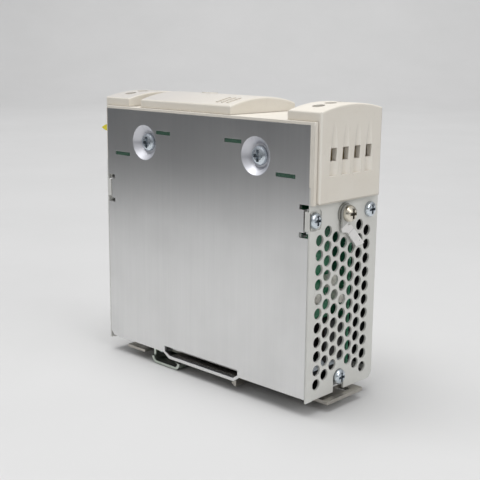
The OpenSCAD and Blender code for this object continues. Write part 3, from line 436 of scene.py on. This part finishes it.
MATERIALS = {
    "bare_aluminium": bare_aluminium(),
    "painted_sheet": painted_sheet(),
    "cream_plastic": cream_plastic(),
    "lens_plastic": plain_plastic("lens_plastic", (0.86, 0.83, 0.75), 0.18, 900, 0.05),
    "circuit_board": circuit_board(),
    "zinc_steel": plated_metal("zinc_steel", (0.66, 0.72, 0.77), 0.24, (0.42, 0.47, 0.51), 0.3),
    "black_plastic": plain_plastic("black_plastic", (0.022, 0.022, 0.024), 0.4),
    "ferrite": plain_plastic("ferrite", (0.06, 0.06, 0.064), 0.55, 700, 0.3),
    "copper_winding": wound_wire("copper_winding", (0.62, 0.28, 0.12), 0.6 * MM, "Z"),
    "yellow_tape": coil_tape(),
    "black_sleeve": sleeve("black_sleeve", (0.035, 0.037, 0.042), (0.45, 0.45, 0.43)),
    "blue_sleeve": sleeve("blue_sleeve", (0.05, 0.075, 0.18), (0.55, 0.57, 0.60)),
    "can_aluminium": plated_metal("can_aluminium", (0.72, 0.73, 0.74), 0.3, (0.5, 0.5, 0.5), 0.2,
                                  (60, 60, 2600)),
    "fuse_ceramic": plain_plastic("fuse_ceramic", (0.78, 0.76, 0.70), 0.2, 800, 0.08),
    "pad_rubber": plain_plastic("pad_rubber", (0.32, 0.36, 0.40), 0.7, 1500, 0.1),
    "trimmer_blue": plain_plastic("trimmer_blue", (0.05, 0.15, 0.42), 0.3, 1500, 0.1),
    "pale_plastic": plain_plastic("pale_plastic", (0.74, 0.72, 0.66), 0.4, 1800, 0.06),
    "led_green": plain_plastic("led_green", (0.22, 0.55, 0.16), 0.12, 900, 0.06),
    # painted light: the terminal blocks' colour is set lighter than their plastic, so that their shaded
    # insides behind the cover windows read lighter
    "terminal_green": plain_plastic("terminal_green", (0.84, 0.72, 0.46), 0.5, 2400, 0.12),
    "tinned_copper": plated_metal("tinned_copper", (0.72, 0.60, 0.44), 0.3),
    "cage_brass": plated_metal("cage_brass", (0.68, 0.56, 0.28), 0.28),
    "hook_steel": plated_metal("hook_steel", (0.58, 0.63, 0.57), 0.30, (0.44, 0.50, 0.40), 0.55),
    "spring_steel": plated_metal("spring_steel", (0.47, 0.45, 0.41), 0.34, (0.30, 0.275, 0.235), 0.5,
                                 (900, 30, 900)),
    "spring_wire": plated_metal("spring_wire", (0.55, 0.56, 0.57), 0.25),
    "nickel_brass": plated_metal("nickel_brass", (0.74, 0.70, 0.61), 0.17, (0.52, 0.45, 0.33), 0.35),
    "washer_steel": plated_metal("washer_steel", (0.50, 0.50, 0.47), 0.36, (0.34, 0.33, 0.30), 0.5),
    "tinned_lug": kinked_strip(),
    "marker_yellow": plain_plastic("marker_yellow", (0.85, 0.74, 0.06), 0.4, 1500, 0.06),
}


def dress_nodes():
    for part in frame["record"]["subparts"]:
        mesh = nodes[part["node"]].data
        mesh.materials.clear()
        mesh.materials.append(MATERIALS[part["material_slot"]])


# ---------------------------------------------------------------- added pieces

def piece(name, bm, slot, body="case", bevel=0.0, smooth=True):
    """Turns bm into an object of that material slot, riding on that body."""
    bmesh.ops.remove_doubles(bm, verts=bm.verts, dist=1e-7)
    bmesh.ops.recalc_face_normals(bm, faces=bm.faces)
    mesh = bpy.data.meshes.new(name)
    bm.to_mesh(mesh)
    bm.free()
    for face in mesh.polygons:
        face.use_smooth = smooth
    obj = bpy.data.objects.new(name, mesh)
    bpy.context.scene.collection.objects.link(obj)
    if bevel:
        mod = obj.modifiers.new("bevel", "BEVEL")
        mod.width = bevel
        mod.segments = 3
        mod.limit_method = "ANGLE"
        mod.harden_normals = True
    mesh.materials.append(MATERIALS[slot])
    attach(obj, body)
    return obj


def frame_to(axis, at):
    """Matrix that takes +Z to that axis and the origin to that point, in mm."""
    turn = Vector((0, 0, 1)).rotation_difference(Vector(axis)).to_matrix().to_4x4()
    return Matrix.Translation(Vector(at) * MM) @ turn


def lathe(bm, profile, axis, at, steps=24):
    """Solid of revolution: profile is (radius, height) in mm along the axis."""
    turn = frame_to(axis, at)
    rings = []
    for radius, height in profile:
        if radius < 1e-6:
            rings.append([bm.verts.new(turn @ Vector((0, 0, height * MM)))])
            continue
        rings.append([
            bm.verts.new(turn @ Vector((
                radius * MM * math.cos(2 * math.pi * i / steps),
                radius * MM * math.sin(2 * math.pi * i / steps),
                height * MM,
            )))
            for i in range(steps)
        ])
    for a, b in zip(rings, rings[1:]):
        for i in range(steps):
            j = (i + 1) % steps
            corners = [a[i % len(a)], a[j % len(a)], b[j % len(b)], b[i % len(b)]]
            unique = list(dict.fromkeys(corners))
            if len(unique) > 2:
                bm.faces.new(unique)


def slab(bm, low, high):
    """Box between two corners in mm."""
    lo, hi = Vector(low) * MM, Vector(high) * MM
    made = bmesh.ops.create_cube(bm, size=1.0)
    for vert in made["verts"]:
        vert.co = Vector([(lo[i] + hi[i]) / 2 + vert.co[i] * (hi[i] - lo[i]) for i in range(3)])


def sweep(bm, path, radius, sides=8, closed=False):
    """Round wire of that radius along a path of points, all in mm."""
    points = [Vector(p) * MM for p in path]
    count = len(points)
    rings = []
    side = None
    for i, point in enumerate(points):
        before = points[i - 1] if (i or closed) else points[i]
        after = points[(i + 1) % count] if (i < count - 1 or closed) else points[i]
        along = (after - before).normalized()
        if side is None:
            side = along.orthogonal().normalized()
        side = (side - along * side.dot(along)).normalized()
        other = along.cross(side)
        turns = [2 * math.pi * k / sides for k in range(sides)]
        rings.append([
            bm.verts.new(point + (side * math.cos(a) + other * math.sin(a)) * radius * MM)
            for a in turns
        ])
    pairs = list(zip(rings, rings[1:]))
    if closed:
        pairs.append((rings[-1], rings[0]))
    for a, b in pairs:
        for k in range(sides):
            bm.faces.new((a[k], a[(k + 1) % sides], b[(k + 1) % sides], b[k]))
    if not closed:
        bm.faces.new(rings[0])
        bm.faces.new(list(reversed(rings[-1])))


def toroid_turns(name, centre, inner, outer, y_low, y_high, turns, wire, slot):
    """Wire wound round a ring core that lies flat on the main board."""
    bm = bmesh.new()
    path = []
    per_turn = 20
    mid, half_r = (inner + outer) / 2, (outer - inner) / 2 + wire * 0.4
    mid_y, half_y = (y_low + y_high) / 2, (y_high - y_low) / 2 + wire * 0.2
    for i in range(turns * per_turn):
        around = 2 * math.pi * i / per_turn
        # superellipse: the turn hugs the core's square section
        c, s_ = math.cos(around), math.sin(around)
        r = mid + half_r * math.copysign(abs(c) ** 0.45, c)
        y = mid_y + half_y * math.copysign(abs(s_) ** 0.45, s_)
        a = 2 * math.pi * 0.94 * i / (turns * per_turn) + 0.2
        path.append((centre[0] + r * math.cos(a), y, centre[1] + r * math.sin(a)))
    sweep(bm, path, wire, 6)
    piece(name, bm, slot)


def winding_rings(name, centre, radius, ys, wire, slot):
    """Turns laid side by side round a bobbin with its axis along Y."""
    bm = bmesh.new()
    steps = 48
    angles = [2 * math.pi * i / steps for i in range(steps)]
    for y in ys:
        path = [(centre[0] + radius * math.cos(a), y, centre[1] + radius * math.sin(a)) for a in angles]
        sweep(bm, path, wire, 8, closed=True)
    piece(name, bm, slot)


def capacitor_top(bm, centre, radius, y):
    """Pressed can end with its rim and four sectors between the vent grooves."""
    rim = [
        (radius - 1.5, 0.05), (radius - 1.3, 0.3), (radius - 0.8, 0.42),
        (radius - 0.35, 0.25), (radius - 0.3, -0.2),
    ]
    lathe(bm, rim, (0, -1, 0), (centre[0], y, centre[1]), 40)
    for quarter in range(4):
        a0 = math.radians(90 * quarter + 45)
        steps = 8
        gap = 0.28
        lower = []
        for i in range(steps + 1):
            a = a0 - math.radians(45) + math.radians(90) * i / steps
            r = radius - 1.6
            lower.append((r * math.cos(a), r * math.sin(a)))
        shift = (gap * math.cos(a0), gap * math.sin(a0))
        outline = [(0.0, 0.0)] + lower
        front, back = [], []
        for u, v in outline:
            reach = math.hypot(u, v)
            drop = 0.12 if reach > 1 else 0.0
            x, z = centre[0] + u + shift[0], centre[1] + v + shift[1]
            front.append(bm.verts.new(Vector((x, y - 0.28 + drop, z)) * MM))
            back.append(bm.verts.new(Vector((x, y + 0.05, z)) * MM))
        bm.faces.new(front)
        for i in range(len(front)):
            j = (i + 1) % len(front)
            bm.faces.new((front[i], front[j], back[j], back[i]))


def axial_part(bm_body, bm_lead, at, length, radius, axis):
    """Resistor or diode lying on the main board, with bent leads."""
    along = Vector(axis)
    start = Vector(at) - along * length / 2
    waist = radius * 0.84
    lathe(bm_body, [
        (0, 0), (radius * 0.7, 0.05), (radius, 0.35), (radius, length * 0.2), (waist, length * 0.3),
        (waist, length * 0.7), (radius, length * 0.8), (radius, length - 0.35),
        (radius * 0.7, length - 0.05), (0, length),
    ], axis, start, 16)
    for end, out in ((start, -along), (start + along * length, along)):
        path = [end, end + out * 0.9]
        path += [end + out * 1.3 + Vector((0, 0.3, 0)), end + out * 1.4 + Vector((0, 0.8, 0))]
        path.append(Vector((path[-1].x, 9.3, path[-1].z)))
        sweep(bm_lead, path, 0.3, 8)


def add_coils():
    toroid_turns("output_choke_turns", (-34, 22.4), 6.2, 12.6, -5.6, 8.4, 26, 0.62, "copper_winding")
    rows = [-10.7, -9.6, -8.5, -7.4, -6.3]
    winding_rings("emi_choke_turns", (39, 18.4), 10.35, rows, 0.5, "copper_winding")


def add_capacitor_tops():
    bm = bmesh.new()
    capacitor_top(bm, (12, 22.4), 12, -18)
    for x, z in ((-49, 44.4), (-49, 60.4), (-34, 46.4), (-34, 62.4)):
        capacitor_top(bm, (x, z), 6.2, -12)
    piece("capacitor_tops", bm, "can_aluminium")
    bm = bmesh.new()
    for z in (35.4, 49.0):
        capacitor_top(bm, (34, z), 6.4, -13)
    piece("input_capacitor_tops", bm, "can_aluminium")


def add_board_parts():
    """Small parts on the main board, near the vents of both ends."""
    body, lead = bmesh.new(), bmesh.new()
    for x, z, axis in (
        (44, 77, (1, 0, 0)), (44, 81, (1, 0, 0)), (19, 79, (1, 0, 0)), (-23, 80, (1, 0, 0)),
        (-47, 74, (1, 0, 0)), (-47, 78, (1, 0, 0)), (-51.5, 30, (0, 0, 1)), (21, 44, (0, 0, 1)),
    ):
        axial_part(body, lead, (x, 7.4, z), 6.3, 1.2, axis)
    piece("resistors", body, "fuse_ceramic")
    piece("resistor_leads", lead, "zinc_steel")
    # boxed film capacitors
    bm = bmesh.new()
    for low, high in (
        ((-55.4, -2.0, 11.0), (-50.2, 8.9, 22.0)),
        ((51.2, -18.3, 30.2), (55.2, -12.6, 36.0)),
        ((-27.5, 1.5, 71.5), (-21.8, 8.9, 77.5)),
    ):
        slab(bm, low, high)
    piece("film_capacitors", bm, "yellow_tape", bevel=0.5 * MM)
    # painted shade: a black potted filter block at the foot of the main board, put there to darken the board
    # seen through the input end's lower vents
    bm = bmesh.new()
    slab(bm, (50.2, -3.5, 11.4), (54.8, 8.9, 29.0))
    slab(bm, (49.0, -1.5, 13.4), (50.2, 8.9, 27.0))
    piece("painted_shade_filter", bm, "black_plastic", bevel=0.6 * MM)
    # filter board behind the input end's vents
    board = bmesh.new()
    slab(board, (50.0, -18.5, 29.8), (51.2, 2.6, 84.5))
    piece("filter_board", board, "circuit_board", bevel=0.15 * MM)
    bm = bmesh.new()
    can = [(0, 0), (2.2, 0), (2.6, 0.3), (2.6, 11.7), (2.2, 12), (0, 12)]
    lathe(bm, can, (0, 1, 0), (53.9, -18.2, 40.4), 28)
    lathe(bm, [(0, 0), (2.2, 0), (2.6, 0.3), (2.6, 5.7), (2.2, 6), (0, 6)], (0, 1, 0), (53.9, -3.6, 46.2), 28)
    piece("filter_cans", bm, "fuse_ceramic")
    bm = bmesh.new()
    for z in (36.8, 44.0):
        sweep(bm, [(51.0, -17.0, z), (52.4, -17.0, z), (53.0, -17.0, z + (40.4 - z) * 0.4)], 0.35, 8)
    for y, z in ((-14, 66), (-8, 74), (-12, 80), (-2, 70), (-5, 79)):
        lathe(bm, [(1.1, 0), (0.8, 0.25), (0.45, 0.8), (0.3, 1.3), (0, 1.35)], (1, 0, 0), (51.2, y, z), 12)
    piece("filter_solder", bm, "can_aluminium")
    # surge discs standing on the board
    bm = bmesh.new()
    disc = [(0, -1.9), (3.6, -1.8), (4.7, -1.2), (5.0, 0), (4.7, 1.2), (3.6, 1.8), (0, 1.9)]
    disc_at = ((42.0, 58.5), (42.0, 68.2))
    for x, z in disc_at:
        lathe(bm, disc, (0, 0, 1), (x, 3.6, z), 28)
    piece("surge_discs", bm, "trimmer_blue")
    bm = bmesh.new()
    for x, z in disc_at:
        for dx in (-2.5, 2.5):
            sweep(bm, [(x + dx, 6.5, z), (x + dx, 8, z + 0.3), (x + dx, 9.3, z + 0.3)], 0.35, 8)
    piece("surge_disc_leads", bm, "zinc_steel")
    # grey line filter cans and a pale plug
    bm = bmesh.new()
    for x, z in ((-51.5, 71.8), (43.0, 55.5)):
        lathe(bm, [
            (0, 0), (2.3, 0), (2.5, 0.2), (2.5, 0.9), (2.3, 1.2), (2.5, 1.5),
            (2.5, 9.6), (2.3, 9.9), (1.7, 9.8), (1.6, 9.6), (0, 9.6),
        ], (0, -1, 0), (x, 9, z), 24)
    piece("small_cans", bm, "can_aluminium")
    bm = bmesh.new()
    slab(bm, (-22.5, 3.5, 38.5), (-13, 8.9, 41.5))
    for i in range(4):
        slab(bm, (-21.8 + 2.3 * i, 2.9, 39.3), (-20.3 + 2.3 * i, 3.6, 40.9))
    piece("board_plug", bm, "pale_plastic", bevel=0.2 * MM)


def add_chips():
    """Flat parts with legs on the control board."""
    body, legs = bmesh.new(), bmesh.new()
    z = 101.8
    for x, y, wide, deep in ((-24, -12, 5, 4), (14, 6, 8, 5), (20, -6, 4, 3.2), (-2, 11, 6, 4)):
        slab(body, (x - wide / 2, y - deep / 2, z + 0.15), (x + wide / 2, y + deep / 2, z + 1.3))
        count = int(wide / 1.2)
        for i in range(count):
            lx = x - wide / 2 + (i + 0.5) * wide / count
            for side in (-1, 1):
                bends = ((0, 0.7), (0.35, 0.65), (0.55, 0.15), (1.0, 0.08))
                sweep(legs, [(lx, y + side * (deep / 2 + reach), z + up) for reach, up in bends], 0.13, 6)
    piece("chips", body, "black_plastic", bevel=0.12 * MM)
    piece("chip_legs", legs, "zinc_steel")


def add_solder():
    """Solder cones on the back of the main board."""
    bm = bmesh.new()
    spots = []
    for x0, x1, z0, z1, nx, nz in (
        (-16, 12, 46, 71, 6, 2), (31, 47, 12, 25, 2, 2), (-44, -24, 14, 31, 2, 2), (8, 16, 22.4, 22.4, 2, 1),
        (-51.5, -46.5, 44.4, 60.4, 2, 2), (-36.5, -31.5, 46.4, 62.4, 2, 2), (31.5, 36.5, 35.4, 49, 2, 2),
        (-36.8, -31.6, 80, 80, 3, 1), (29.6, 34.8, 80, 80, 3, 1), (-17, -5, 14, 29, 2, 3),
        (26, 36, 63, 72, 2, 2),
    ):
        for i in range(nx):
            for k in range(nz):
                spots.append((x0 + (x1 - x0) * i / max(1, nx - 1), z0 + (z1 - z0) * k / max(1, nz - 1)))
    for x, z in spots:
        cone = [(1.15, 0), (0.85, 0.25), (0.5, 0.7), (0.38, 1.15), (0.3, 1.35), (0, 1.4)]
        lathe(bm, cone, (0, 1, 0), (x, 10.58, z), 12)
    piece("solder_points", bm, "can_aluminium")


def add_wires():
    """Insulated wires between the terminal boards and the main board."""
    bm = bmesh.new()
    for i, (x, z) in enumerate(((44.0, 76.0), (47.5, 73.5), (51.0, 71.0))):
        bow = 1.2 * i
        for side in (1, -1):
            sweep(bm, [
                (side * x, 12 - i, 89.4), (side * x, 13 - i, 87.8),
                (side * (x - 0.3), 14.5 + 0.4 * i, 85.5), (side * x, 15.2, 82 - bow),
                (side * (x + 0.2), 14.6, 79 - bow), (side * x, 12.8, 77 - bow), (side * x, 10.9, z),
            ], 0.85, 10)
    piece("hookup_wires", bm, "black_sleeve")


def add_return_spring():
    """The latch's spring as a round-wire coil, riding on the case in place of the CAD spring."""
    bm = bmesh.new()
    turns, steps, radius, wire = 7, 24, 1.49, 0.29
    first, last = 26.92, 35.58
    axis_y, axis_z, fixed_end = -9, -0.8, 36
    path = []
    for i in range(turns * steps + 1):
        along = i / (turns * steps)
        # the end turns lie closer, as on a closed and ground spring
        along += 0.018 * math.sin(2 * math.pi * along) * 0.5
        a = 2 * math.pi * i / steps
        x = first + (last - first) * along
        path.append((x, axis_y + radius * math.cos(a), axis_z + radius * math.sin(a)))
    sweep(bm, path, wire, 10)
    coil = piece("return_spring", bm, "spring_wire")
    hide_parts("latch_spring")
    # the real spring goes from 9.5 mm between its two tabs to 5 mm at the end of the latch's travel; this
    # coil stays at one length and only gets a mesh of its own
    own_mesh(coil)


def add_pieces():
    add_coils()
    add_return_spring()
    add_capacitor_tops()
    add_board_parts()
    add_chips()
    add_solder()
    add_wires()


# ---------------------------------------------------------------- stage

def make_stage():
    """Pale floor that curves up into a far wall."""
    mesh = bpy.data.meshes.new("floor")
    bm = bmesh.new()
    # The sweep runs away from the camera; its near edge lies behind the camera
    away = Vector((-0.688, 0.726, 0)).normalized()
    side = Vector((away.y, -away.x, 0))
    profile = [(-1.1, 0.0), (-0.2, 0.0), (0.9, 0.0), (1.8, 0.0)]
    radius, bend = 0.9, 14
    for i in range(1, bend + 1):
        a = math.radians(90) * i / bend
        profile.append((1.8 + radius * math.sin(a), radius * (1 - math.cos(a))))
    profile.append((1.8 + radius, 3.2))
    # the floor's left part is short, so that the plate mirrors the dark room beyond its edge
    near_left, far_left, right = -0.5, -3.0, 3.0
    rows = []
    for along, height in profile:
        left = near_left if along < 1.0 else far_left
        up = Vector((0, 0, FLOOR_Z + height))
        rows.append([bm.verts.new(away * along + side * w + up) for w in (left, right)])
    for a, b in zip(rows, rows[1:]):
        bm.faces.new((a[0], a[1], b[1], b[0]))
    bm.normal_update()
    bm.to_mesh(mesh)
    bm.free()
    for face in mesh.polygons:
        face.use_smooth = True
    floor = bpy.data.objects.new("floor", mesh)
    bpy.context.scene.collection.objects.link(floor)
    s = Shader("floor_paper", (0.78, 0.78, 0.78), 0.0, 0.55, Specular_IOR_Level=0.3)
    cloud = s.ramp(s.noise(7, 4, 0.6), [(0.3, 0.0), (0.7, 1.0)])
    s.set("Base Color", s.mix(cloud, (0.62, 0.62, 0.615), (0.645, 0.644, 0.64)))
    s.bump(s.noise(900, 3, 0.6), 0.05 * MM, 0.3)
    mesh.materials.append(s.done())


def area_light(name, place, target, size, power, color=(1, 1, 1)):
    data = bpy.data.lights.new(name, "AREA")
    data.shape = "RECTANGLE"
    data.size, data.size_y = size
    data.energy = power
    data.color = color
    lamp = bpy.data.objects.new(name, data)
    lamp.location = place
    lamp.rotation_mode = "QUATERNION"
    lamp.rotation_quaternion = (Vector(target) - Vector(place)).to_track_quat("-Z", "Y")
    bpy.context.scene.collection.objects.link(lamp)


def make_world():
    """Bright ceiling over a dark room, so that upright metal faces darken towards their top."""
    world = bpy.data.worlds.new("studio")
    world.use_nodes = True
    tree = world.node_tree
    back = tree.nodes["Background"]
    coords = tree.nodes.new("ShaderNodeTexCoord")
    split = tree.nodes.new("ShaderNodeSeparateXYZ")
    ramp = tree.nodes.new("ShaderNodeValToRGB")
    tree.links.new(coords.outputs["Generated"], split.inputs[0])
    tree.links.new(split.outputs["Z"], ramp.inputs[0])
    tree.links.new(ramp.outputs[0], back.inputs["Color"])
    line = ramp.color_ramp
    line.elements[0].position = 0.05
    line.elements[0].color = (0.19, 0.195, 0.205, 1)
    line.elements[1].position = 0.6
    line.elements[1].color = (0.95, 0.95, 0.97, 1)
    back.inputs["Strength"].default_value = 0.62
    bpy.context.scene.world = world


def make_light():
    area_light("overhead", (-0.12, -0.2, 1.5), (0, 0, 0.0), (1.1, 1.1), 17.0)
    area_light("right_fill", (1.5, -0.1, 0.9), (0.05, 0, 0.05), (1.0, 1.0), 6.4, (1.0, 0.995, 0.985))
    area_light("wall_wash", (-0.6, 0.9, 1.7), (-1.9, 2.1, 0.95), (1.6, 0.8), 18.0)


make_camera()
dress_nodes()
add_pieces()
make_stage()
make_world()
make_light()
bpy.context.scene.view_settings.view_transform = "Standard"
